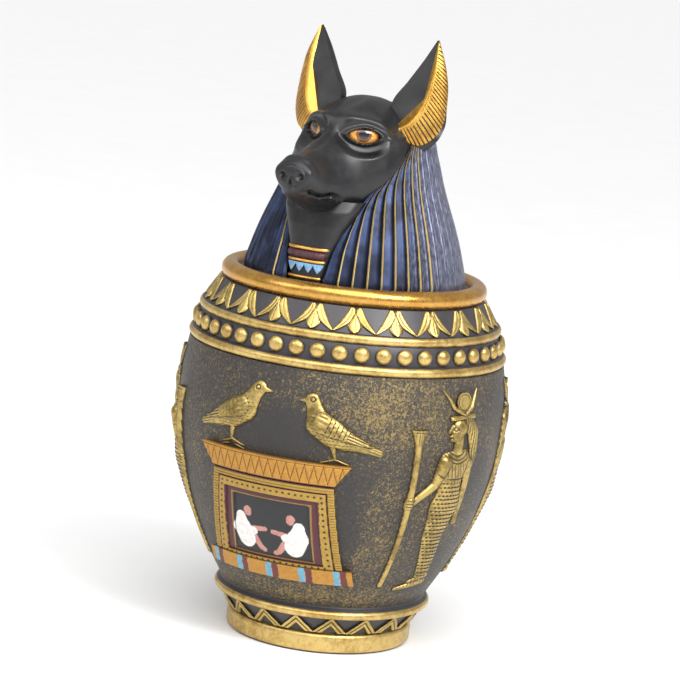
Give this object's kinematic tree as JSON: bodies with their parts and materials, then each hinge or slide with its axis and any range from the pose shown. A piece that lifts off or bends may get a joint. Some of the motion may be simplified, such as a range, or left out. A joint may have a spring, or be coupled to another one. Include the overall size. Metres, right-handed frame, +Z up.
{
  "type": "canopic jar",
  "caption": "Round-bellied urn on a narrow foot with relief figures and a shrine, beaded and lotus bands, and a loose lid shaped as a jackal head in a striped headdress",
  "frame": {"origin": "middle of the underside of the foot, on the jar's own axis", "axes": "+Z up along the jar's axis, -Y out of the front shrine, +X to the viewer's right when the shrine is faced"},
  "size_m": [0.1404, 0.1448, 0.261],
  "materials": {
    "jar_paint": "stone-filled resin, charcoal ground with antique-gold dry brushing, satin",
    "lid_paint": "stone-filled resin, satin black head, blue and grey headdress, antique-gold ears, satin"
  },
  "bodies": {
    "root": {"jar_body": "jar_paint", "jackal_lid": "lid_paint"}
  },
  "joints": []
}
